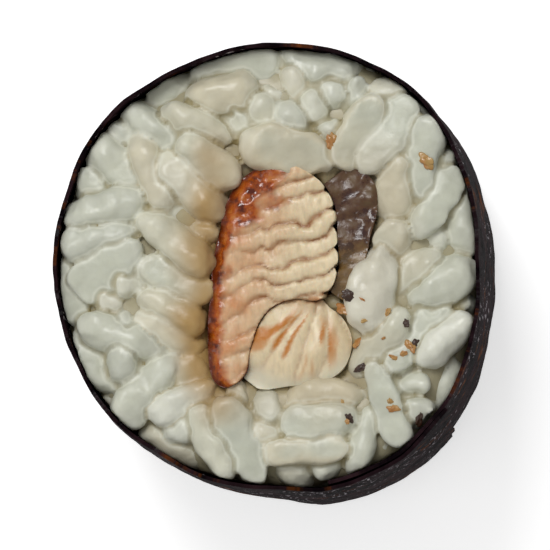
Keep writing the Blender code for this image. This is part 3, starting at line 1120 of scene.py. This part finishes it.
def nori_finish():
    material, tree, shader = start_finish("nori", roughness=0.42)
    shader.inputs["Specular IOR Level"].default_value = 0.0
    shader.inputs["Coat Weight"].default_value = 0.05
    shader.inputs["Coat Roughness"].default_value = 0.16
    sheet = attribute(tree, "sheet", "Vector")
    broad = mottle(tree, place_on(tree, source=sheet), 3.2 * MM, detail=4.0, roughness=0.65)
    colour = blend_colours(tree, ramp(tree, broad, (0.42, 0.0), (0.66, 1.0)), NORI_BLACK, NORI_VIOLET)
    thin = mottle(tree, place_on(tree, (1, 1.3, 1), sheet), 4.5 * MM, detail=5.0, roughness=0.7)
    colour = blend_colours(tree, ramp(tree, thin, (0.57, 0.0), (0.72, 0.8)), colour, NORI_AMBER)
    across = mottle(tree, place_on(tree, (1.0, 0.28, 1), sheet), 0.42 * MM, detail=4.0, distortion=0.6)
    around = mottle(tree, place_on(tree, (0.28, 1.0, 1), sheet), 0.42 * MM, detail=4.0, distortion=0.6)
    felt = combine(tree, "MAXIMUM", across, around)
    colour = blend_colours(tree, ramp(tree, felt, (0.60, 0.0), (0.78, 0.35)), colour, NORI_VIOLET)
    # Painted glints: short, bright, slanted threads in patches, only on the walls.
    slanted = place_on(tree, (1.0, 0.35, 1), sheet)
    slanted.node.inputs["Rotation"].default_value = (0, 0, math.radians(24))
    glints = mottle(tree, slanted, 0.36 * MM, detail=3.0, roughness=0.6, distortion=0.5)
    shiny = mottle(tree, place_on(tree, (1, 1, 1), sheet), 5.0 * MM, detail=3.0)
    bright = ramp(tree, glints, (0.57, 0.0), (0.67, 1.0))
    where = ramp(tree, shiny, (0.48, 0.0), (0.62, 0.9))
    painted_glints = combine(tree, "MULTIPLY", bright, where)
    painted_glints = combine(tree, "MULTIPLY", painted_glints, attribute(tree, "on_wall"))
    colour = blend_colours(tree, painted_glints, colour, NORI_PAINTED_GLINT)
    tree.links.new(colour, shader.inputs["Base Color"])
    tree.links.new(ramp(tree, felt, (0.40, 0.60), (0.75, 0.30)), shader.inputs["Roughness"])
    bump = emboss(tree, shader, felt, 0.12 * MM)
    tree.links.new(bump, shader.inputs["Coat Normal"])
    return material


nori_material = nori_finish()

# %% [markdown]
# The grid becomes a sheet of quads, the tree presses it, and Solidify gives it both
# faces. The walls are marked, as the painted glints don't show on the cut rim.

# %% Make the sheet
SHEET_SHARE = 0.85  # of the solid's thickness, which leaves room for the relief
SHARP_ANGLE = math.radians(50)


def grid_mesh(name, grid, up_and_along):
    """A quad mesh on a grid of points, facing out of the roll, with the sheet's coordinates."""
    rows, columns, _ = grid.shape
    corner = np.arange(rows * columns).reshape(rows, columns)
    around = (corner[:-1, :-1], corner[:-1, 1:], corner[1:, 1:], corner[1:, :-1])
    quads = np.stack(around, -1).reshape(-1, 4)
    mesh = bpy.data.meshes.new(name)
    mesh.from_pydata(grid.reshape(-1, 3).tolist(), [], quads.tolist())
    store(mesh, "sheet", up_and_along.reshape(-1, 3), "FLOAT_VECTOR")
    return mesh


own_place = np.dstack((np.broadcast_to(sheet_along, sheet_up.shape), sheet_up, np.zeros_like(sheet_up)))
nori_sheet = in_scene("nori_sheet", grid_mesh("nori_sheet", sheet_points, own_place))
nori_sheet.data = run_tree(nori_sheet, press_tree(nori_material))
nori_sheet.data.name = "nori_sheet"
wall = nori_sheet.modifiers.new("thickness", "SOLIDIFY")
wall.thickness = SHEET_THICKNESS * SHEET_SHARE
wall.offset = 0.0
graph = bpy.context.evaluated_depsgraph_get()
solid_sheet = bpy.data.meshes.new_from_object(nori_sheet.evaluated_get(graph))
nori_sheet.modifiers.clear()
nori_sheet.data = solid_sheet
solid_sheet.shade_smooth()
solid_sheet.set_sharp_from_angle(angle=SHARP_ANGLE)
faces_sideways = np.abs(normals(solid_sheet)[:, 2]) < 0.4
store(solid_sheet, "on_wall", faces_sideways.astype(float))
print("nori", len(solid_sheet.polygons), "faces")

# %% [markdown]
# ## Eel, its relief
# The fillet was cut across, so its face shows the flakes of the muscle edge on: pale
# curved bands that climb to the right and bend at the middle line, with fine brown
# seams between them. One side is the grilled and glazed crust. The bands follow a rule,
# a wave along one bent coordinate, so a function gives the height of the face and, with
# the same numbers, where the seams and the crust are for the finish.

# %% Eel helpers
EEL_VOXEL = 0.20 * MM
BAND_PITCH = 1.40 * MM
BAND_HEIGHT = 0.30 * MM
BAND_LIFT = 0.13 * MM
NOTCH_DEPTH = 0.55 * MM
CRUST_WIDE = 3.5 * MM
CRUST_NARROW = 1.1 * MM


def level_caps(co, node, cap=0.6 * MM):
    """Flattens a solid's two ends to one height each, before new relief is added."""
    low_corner, high_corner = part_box(node)
    upper = co[:, 2] > high_corner.z - cap
    lower = co[:, 2] < low_corner.z + 0.25 * MM
    co[upper, 2] = high_corner.z - 0.15 * MM
    co[lower, 2] = low_corner.z + 0.05 * MM
    return upper, lower


def depth_from_left(co, node):
    """How far each point lies inside the piece's left wall."""
    found = np.zeros(len(co))
    for i, point in enumerate(co):
        probe = level_probe(point, 1.5 * MM)
        hit = TREES[node].ray_cast(probe, Vector((-1, 0, 0)))
        found[i] = hit[3] if hit[0] else 0.0
    return found


def lean_on(co, node, reach, leave):
    """Moves the points near another solid's wall level towards it, so the two pieces touch."""
    for point in co:
        probe = level_probe(point, 2 * MM)
        spot, _, _, away = TREES[node].find_nearest(probe)
        if leave < away < reach:
            near = 1 - smooth_step((away - 0.6 * reach) / (0.4 * reach))
            point[:2] += (np.array(spot - probe)[:2] / away) * (away - leave) * near


def rounded_bands(phase, power=4):
    """Height across a flake, from 0 in its seam to 1 on its broad back."""
    across = np.abs(2 * (phase - np.floor(phase)) - 1)
    return 1 - across**power


def band_phase(co):
    """Which flake each point is in: whole numbers are seams, and halves the middles."""
    x, y = co[:, 0] / MM, co[:, 1] / MM
    climb = 0.58 * (x + 4) - 0.030 * (x + 4) ** 2 + 0.50 * np.exp((x - 4.4) / 0.8)
    kink = 0.75 * smooth_step((x + 0.55 + 0.10 * y) / 0.7)
    drift = 0.66 * wander(co * (1, 1, 0.3), 2.4 * MM, 2.0) + 0.26 * wander(co, 0.8 * MM, 6.0)
    return (y - climb + kink + drift) * MM / BAND_PITCH


# %% [markdown]
# The fillet is its solid with the flakes, the crust and the fibres as relief. The flakes
# part a little where they meet the skin, and fade towards the crust, where sauce has
# filled them. All of these are formulas of the place, so nothing is drawn by hand.

# %% Make the fillet
def make_fillet():
    fillet = fine_copy("eel_fillet", "eel_fillet_flesh", EEL_VOXEL)
    mesh = fillet.data
    co = coordinates(mesh)
    upper, lower = level_caps(co, "eel_fillet")
    inside = depth_from_left(co, "eel_fillet")
    y = co[:, 1] / MM
    width = CRUST_NARROW + (CRUST_WIDE - CRUST_NARROW) * smooth_step((y - 1.6) / 2.6)
    ragged = wander(co, 1.1 * MM, 5.0) * 0.8 + wander(co, 0.45 * MM, 9.0) * 0.4
    crust = smooth_step(1.35 - inside / width + 0.55 * ragged)
    crust *= smooth_step((2.0 * MM - co[:, 0]) / (0.9 * MM))
    phase = band_phase(co)
    bands = rounded_bands(phase)
    skin = TREES["eel_skin"]
    to_skin = np.array([skin.find_nearest(Vector((p[0], p[1], MIDDLE)))[3] for p in co])
    notch = smooth_step(1.3 - to_skin / (1.2 * MM)) * (1 - bands)
    co[:, 0] -= NOTCH_DEPTH * notch
    lift = BAND_LIFT * np.sin(np.floor(phase) * 2.4 + 1.0)
    parted = 0.35 + 0.65 * smooth_step((inside - 1.2 * MM) / (3.2 * MM))
    relief = ((bands - 1) * BAND_HEIGHT + bands * lift) * (1 - crust) * parted
    relief += crust * (0.34 * wander(co, 1.1 * MM, 4.0) + 0.20 * wander(co, 0.45 * MM, 7.0)) * MM
    relief += 0.16 * MM * wander(co, 1.8 * MM, 1.0) * (1 - crust)
    ribs = np.sin((co[:, 0] * 0.95 + co[:, 1] * 0.3) / (0.10 * MM) + 3 * wander(co, 1.0 * MM, 3.0))
    relief += 0.045 * MM * ribs * (1 - crust)
    dome = smooth_step(inside / (1.1 * MM))
    relief -= (1 - dome) * 0.55 * MM
    co[upper, 2] += relief[upper]
    co[lower, 2] -= np.minimum(relief[lower], 0.0) * 0.6
    walls = ~(upper | lower)
    co[walls, :2] += (normals(mesh)[:, :2] * (0.10 * MM * wander(co, 1.4 * MM, 6.0))[:, None])[walls]
    set_coordinates(mesh, co)
    seam = smooth_step((0.88 - bands) / 0.7)
    store(mesh, "crust", crust)
    store(mesh, "seam", seam * parted)
    store(mesh, "rim", smooth_step(1 - inside / (0.8 * MM)))
    store(mesh, "streak", np.zeros(len(co)))
    store(mesh, "pale", np.zeros(len(co)))
    store(mesh, "pink", smooth_step(1.3 - inside / (4.8 * MM)))
    return fillet


eel_fillet_flesh = make_fillet()
print("fillet", len(eel_fillet_flesh.data.polygons), "faces")

# %% [markdown]
# ## The finish of the eel
# The flesh is cream, pinker towards the glaze and browner in the seams. The crust goes
# from orange to a dark lacquer red at its outer edge, and it is the glossiest thing in
# the roll, with uneven shine, because the sauce dried in drops.

# %% Eel flesh finish
FLESH_CREAM = srgb(231, 211, 173)
FLESH_PALE = srgb(216, 210, 186)
FLESH_PINK = srgb(210, 148, 98)
FLESH_SEAM = srgb(148, 88, 32)
FLESH_STREAK = srgb(190, 116, 20)
GLAZE_ORANGE = srgb(166, 74, 2)
GLAZE_PALE = srgb(186, 110, 32)
GLAZE_RED = srgb(92, 30, 5)


def flesh_finish():
    material, tree, shader = start_finish("eel_flesh", roughness=0.34, subsurface=0.18)
    shader.inputs["Subsurface Radius"].default_value = (1.0, 0.6, 0.35)
    shader.inputs["Subsurface Scale"].default_value = 1.2 * MM
    shader.inputs["Coat Weight"].default_value = 0.16
    shader.inputs["Coat Roughness"].default_value = 0.18
    patches = mottle(tree, place_on(tree), 1.8 * MM, detail=3.0)
    mixed = combine(tree, "MULTIPLY", ramp(tree, patches, (0.35, 0.35), (0.65, 1.0)), attribute(tree, "pink"))
    colour = blend_colours(tree, mixed, FLESH_CREAM, FLESH_PINK)
    fibres = mottle(tree, place_on(tree, (1.6, 0.7, 0.5)), 0.55 * MM, detail=3.0, distortion=0.4)
    silky = ramp(tree, fibres, (0.32, 0.86), (0.64, 1.0))
    colour = blend_colours(tree, 1.0, colour, silky, mode="MULTIPLY")
    fade = ramp(tree, mottle(tree, place_on(tree), 1.1 * MM), (0.3, 0.45), (0.6, 1.0))
    colour = blend_colours(tree, combine(tree, "MULTIPLY", attribute(tree, "seam"), fade), colour, FLESH_SEAM)
    colour = blend_colours(tree, attribute(tree, "streak"), colour, FLESH_STREAK)
    colour = blend_colours(tree, attribute(tree, "pale"), colour, FLESH_PALE)
    drops = mottle(tree, place_on(tree), 0.8 * MM, detail=3.0, roughness=0.6)
    glaze = ramp(tree, drops, (0.34, GLAZE_RED), (0.50, GLAZE_ORANGE), (0.72, GLAZE_PALE))
    edge = ramp(tree, attribute(tree, "rim"), (0.3, 0.0), (0.9, 0.9))
    glaze = blend_colours(tree, edge, glaze, GLAZE_RED)
    colour = blend_colours(tree, ramp(tree, attribute(tree, "crust"), (0.15, 0.0), (0.8, 1.0)), colour, glaze)
    tree.links.new(colour, shader.inputs["Base Color"])
    moist = ramp(tree, drops, (0.3, 0.40), (0.7, 0.52))
    lacquered = ramp(tree, drops, (0.3, 0.14), (0.7, 0.34))
    tree.links.new(
        blend_colours(tree, attribute(tree, "crust"), moist, lacquered),
        shader.inputs["Roughness"],
    )
    emboss(tree, shader, mottle(tree, place_on(tree), 0.5 * MM, detail=2.0), 0.04 * MM)
    return material


flesh_material = flesh_finish()
eel_fillet_flesh.data.materials.append(flesh_material)

# %% [markdown]
# ## Eel, the loose flake and the skin
# Below the fillet lies a thick flake that came away from it. Its fibres fan out from
# the end that was torn off, and sauce has run along them. On the right runs the skin of
# the fish, a soft dark band with a slaty sheen, with the flesh grown onto it. Both start
# from their solids in the same way as the fillet did, and lean on it so they touch.

# %% Make the flake
FAN_ROOT = (3.8 * MM, -1.3 * MM)
FAN_PITCH = 0.34  # radians from one fold to the next


def make_flake():
    flake = fine_copy("eel_flake", "eel_flake_flesh", EEL_VOXEL)
    mesh = flake.data
    co = coordinates(mesh)
    upper, lower = level_caps(co, "eel_flake")
    low_corner, high_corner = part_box("eel_flake")
    middle = (low_corner + high_corner) / 2
    wide, tall = (high_corner.x - low_corner.x) / 2, (high_corner.y - low_corner.y) / 2
    out = np.hypot((co[:, 0] - middle.x) / wide, (co[:, 1] - middle.y) / tall)
    across, down = co[:, 0] - FAN_ROOT[0], FAN_ROOT[1] - co[:, 1]
    angle, reach = np.arctan2(across, down), np.hypot(across, down)
    fan = np.stack((angle * 5.5, reach / MM * 0.20, np.zeros(len(co))), 1)
    folds = rounded_bands(angle / FAN_PITCH + 0.5 * wander(co, 2.0 * MM, 8.0), 3)
    crack = np.array([TREES["eel_fillet"].find_nearest(Vector((p[0], p[1], MIDDLE)))[3] for p in co])
    edge = smooth_step(1 - crack / (0.9 * MM))
    relief = (1 - np.clip(out, 0, 1) ** 2.5) * 0.7 - 0.35
    relief += 0.18 * (folds - 1) + 0.16 * wander(co, 1.3 * MM, 3.0)
    co[upper, 2] += (relief - 0.18 * edge)[upper] * MM
    co[lower, 2] += 0.10 * MM * np.abs(wander(co, 1.5 * MM, 3.0))[lower]
    lean_on(co, "eel_fillet", 0.9 * MM, 0.03 * MM)
    set_coordinates(mesh, co)
    streak = smooth_step((wander(fan, 1.0, 4.0) + 0.5 * wander(fan, 0.4, 1.0) - 0.08) / 0.28)
    store(mesh, "crust", np.zeros(len(co)))
    store(mesh, "seam", np.clip(edge + 0.40 * smooth_step((0.5 - folds) / 0.5), 0, 1))
    store(mesh, "rim", np.zeros(len(co)))
    store(mesh, "streak", streak * smooth_step(2.3 - 2.4 * out))
    store(mesh, "pink", np.zeros(len(co)))
    below = smooth_step((middle.y - co[:, 1]) / (2.0 * MM))
    store(mesh, "pale", 0.85 * below * smooth_step((out - 0.55) / 0.4))
    mesh.materials.append(flesh_material)
    return flake


eel_flake_flesh = make_flake()
print("flake", len(eel_flake_flesh.data.polygons), "faces")

# %% [markdown]
# The skin is rough all over and shiny. It is dusky at its upper end and paler and more
# olive below, where the fat under it shows.

# %% Make the skin
SKIN_GREY = srgb(104, 72, 38)
SKIN_DARK = srgb(48, 18, 18)
SKIN_DUSK = srgb(66, 38, 28)
SKIN_OLIVE = srgb(124, 100, 58)
SKIN_SILVER = srgb(196, 188, 188)


def make_skin():
    skin = fine_copy("eel_skin", "eel_skin_band", EEL_VOXEL)
    mesh = skin.data
    co = coordinates(mesh)
    upper, lower = level_caps(co, "eel_skin")
    lean_on(co, "eel_fillet", 1.7 * MM, 0.02 * MM)
    lean_on(co, "eel_flake", 0.9 * MM, 0.05 * MM)
    relief = 0.40 * wander(co, 1.5 * MM, 2.0) + 0.25 * wander(co, 0.55 * MM, 6.0) - 0.25
    co[upper, 2] += relief[upper] * MM
    co[lower, 2] += 0.10 * MM * np.abs(relief[lower])
    set_coordinates(mesh, co)
    store(mesh, "lower_part", smooth_step((2.5 - co[:, 1] / MM) / 3.0))
    mesh.materials.append(skin_finish())
    return skin


def skin_finish():
    material, tree, shader = start_finish("eel_skin", roughness=0.30, subsurface=0.05)
    shader.inputs["Subsurface Scale"].default_value = 1.0 * MM
    shader.inputs["Coat Weight"].default_value = 0.12
    shader.inputs["Coat Roughness"].default_value = 0.18
    blotch = mottle(tree, place_on(tree, (1, 1, 0.5)), 1.1 * MM, detail=4.0, roughness=0.6)
    colour = ramp(tree, blotch, (0.38, SKIN_DARK), (0.50, SKIN_GREY), (0.70, SKIN_OLIVE))
    colour = blend_colours(
        tree,
        combine(tree, "MULTIPLY", attribute(tree, "lower_part"), 0.55),
        colour,
        SKIN_OLIVE,
    )
    dusky = ramp(tree, attribute(tree, "lower_part"), (0.0, 0.55), (0.5, 0.0))
    colour = blend_colours(tree, dusky, colour, SKIN_DUSK)
    flecks = mottle(tree, place_on(tree), 0.5 * MM, detail=1.0)
    colour = blend_colours(tree, ramp(tree, flecks, (0.70, 0.0), (0.76, 0.4)), colour, SKIN_SILVER)
    tree.links.new(colour, shader.inputs["Base Color"])
    tree.links.new(ramp(tree, blotch, (0.3, 0.18), (0.7, 0.45)), shader.inputs["Roughness"])
    emboss(tree, shader, mottle(tree, place_on(tree), 0.35 * MM, detail=3.0), 0.04 * MM)
    return material


eel_skin_band = make_skin()
print("skin", len(eel_skin_band.data.polygons), "faces")

# %% [markdown]
# ## Crumbs
# When the roll was cut, the knife dragged bits of glaze and skin over the rice, mostly
# towards the lower right. They are tiny torn lumps, made from a ball with noise.

# %% Shape the crumbs
CRUMB_SIZE = 0.34 * MM
CRUMB_COUNT = 22
CRUMB_SPREADS = (
    (0.60, 6.5, -5.0, 1.8),  # share of the crumbs, middle across and up in mm, spread in mm
    (0.25, 9.0, -10.5, 1.6),
    (0.15, 7.5, 8.5, 2.4),
)
crumb_chance = np.random.default_rng(8)
crumb_kinds = bpy.data.collections.new("crumb_kinds")
for kind in range(4):
    shape = bmesh.new()
    bmesh.ops.create_icosphere(shape, subdivisions=4, radius=CRUMB_SIZE)
    for vertex in shape.verts:
        spot = vertex.co / CRUMB_SIZE + Vector((kind * 7.0, 0, 0))
        torn = 1 + 0.8 * noise.noise(spot * 1.1) + 0.25 * noise.noise(spot * 2.9)
        vertex.co = Vector((vertex.co.x * 1.5, vertex.co.y, vertex.co.z * 0.42)) * torn
    mesh = bpy.data.meshes.new(f"crumb_{kind}")
    shape.to_mesh(mesh)
    shape.free()
    crumb_kinds.objects.link(bpy.data.objects.new(mesh.name, mesh))


# %% [markdown]
# A crumb's place is drawn from three spreads: most near the eel, some at the lower right
# and a few at the upper right. A ray from above finds the rice below it, and a crumb
# that would touch the eel is drawn again.


# %% Drop the crumbs
def crumb_points():
    tree = tree_of(rice_grains_upper.data)
    places = []
    shares = [spread[0] for spread in CRUMB_SPREADS]
    while len(places) < CRUMB_COUNT:
        _, x, y, spread = CRUMB_SPREADS[crumb_chance.choice(len(CRUMB_SPREADS), p=shares)]
        x, y = crumb_chance.normal((x, y), spread) * MM
        hit, normal, _, _ = tree.ray_cast(Vector((x, y, FACE + 10 * MM)), Vector((0, 0, -1)))
        if hit and hit.z > FACE - 2 * MM and eel_distance([hit])[0] > 0.2 * MM:
            places.append(tuple(hit + normal * 0.02 * MM))
    mesh = bpy.data.meshes.new("crumb_points")
    mesh.from_pydata(places, [], [])
    count = len(places)
    turned = np.stack((crumb_chance.normal(0, 0.3, count), crumb_chance.normal(0, 0.3, count),
                       crumb_chance.uniform(0, math.tau, count)), 1)
    sizes = crumb_chance.lognormal(-0.35, 0.45, count)[:, None] * crumb_chance.uniform(0.7, 1.2, (count, 3))
    store(mesh, "turn", turned, "FLOAT_VECTOR")
    store(mesh, "size", np.clip(sizes, 0.22, 1.05), "FLOAT_VECTOR")
    store(mesh, "kind", crumb_chance.integers(0, 4, count), "INT")
    store(mesh, "burnt", (crumb_chance.random(count) < 0.30).astype(float))
    points = in_scene("crumb_points", mesh)
    return points


# %% [markdown]
# A short node tree puts a lump on each point, with its own turn and size.


# %% The tree that lays the crumbs
def crumb_tree(material):
    tree, given, result = new_tree("lay_crumbs", Size=1.0)
    kinds = add(
        tree,
        "GeometryNodeCollectionInfo",
        {"transform_space": "ORIGINAL"},
        Collection=crumb_kinds,
        Separate_Children=True,
        Reset_Children=True,
    )
    turn = add(tree, "FunctionNodeEulerToRotation", Euler=named(tree, "turn", "FLOAT_VECTOR"))
    scale = add(
        tree,
        "ShaderNodeVectorMath",
        {"operation": "SCALE"},
        i0=named(tree, "size", "FLOAT_VECTOR"),
        Scale=given.outputs["Size"],
    )
    laid = add(
        tree,
        "GeometryNodeInstanceOnPoints",
        Points=given.outputs["Geometry"],
        Instance=kinds.outputs["Instances"],
        Pick_Instance=True,
        Instance_Index=named(tree, "kind", "INT"),
        Rotation=turn.outputs["Rotation"],
        Scale=scale.outputs[0],
    )
    real = add(tree, "GeometryNodeRealizeInstances", Geometry=laid.outputs["Instances"])
    smooth = add(tree, "GeometryNodeSetShadeSmooth", Geometry=real.outputs["Geometry"])
    dressed = add(tree, "GeometryNodeSetMaterial", Geometry=smooth.outputs["Geometry"], Material=material)
    tree.links.new(dressed.outputs["Geometry"], result.inputs["Geometry"])
    return tree


# %% [markdown]
# Crumbs of glaze are ochre to orange and shiny. Those of the skin are burnt nearly black.

# %% Crumb finish
CRUMB_OCHRE = srgb(180, 144, 84)
CRUMB_ORANGE = srgb(172, 116, 58)
CRUMB_BURNT = srgb(58, 34, 18)


def crumb_finish():
    material, tree, shader = start_finish("crumb", roughness=0.35)
    shader.inputs["Coat Weight"].default_value = 0.3
    patches = mottle(tree, place_on(tree), 1.6 * MM, detail=2.0)
    colour = ramp(tree, patches, (0.40, CRUMB_ORANGE), (0.60, CRUMB_OCHRE))
    colour = blend_colours(tree, attribute(tree, "burnt"), colour, CRUMB_BURNT)
    tree.links.new(colour, shader.inputs["Base Color"])
    emboss(tree, shader, mottle(tree, place_on(tree), 0.25 * MM), 0.04 * MM)
    return material


# %% [markdown]
# The lumps go onto the points, and the bare points are thrown away.

# %% Make the crumbs
crumb_cloud = crumb_points()
crumbs_mesh = run_tree(crumb_cloud, crumb_tree(crumb_finish()))
bpy.data.objects.remove(crumb_cloud)
crumbs_mesh.name = "crumbs"
crumbs = in_scene("crumbs", crumbs_mesh)
print("crumbs", len(crumbs_mesh.polygons), "faces")

# %% [markdown]
# ## Putting it on the frame
# Every piece rides on the one body and stands for the solid that it replaces.

# %% Ride and replace
PIECES = (
    (rice_grains_upper, "rice_bed", "rice"),
    (rice_grains_lower, "rice_bed", "rice"),
    (rice_core, "rice_bed", "rice"),
    (nori_sheet, "nori_wrap", "nori"),
    (eel_fillet_flesh, "eel_fillet", "eel_flesh"),
    (eel_flake_flesh, "eel_flake", "eel_flesh"),
    (eel_skin_band, "eel_skin", "eel_skin"),
)
for piece, node, slot in PIECES:
    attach(piece, BODY)
    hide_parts(node)

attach(crumbs, BODY)
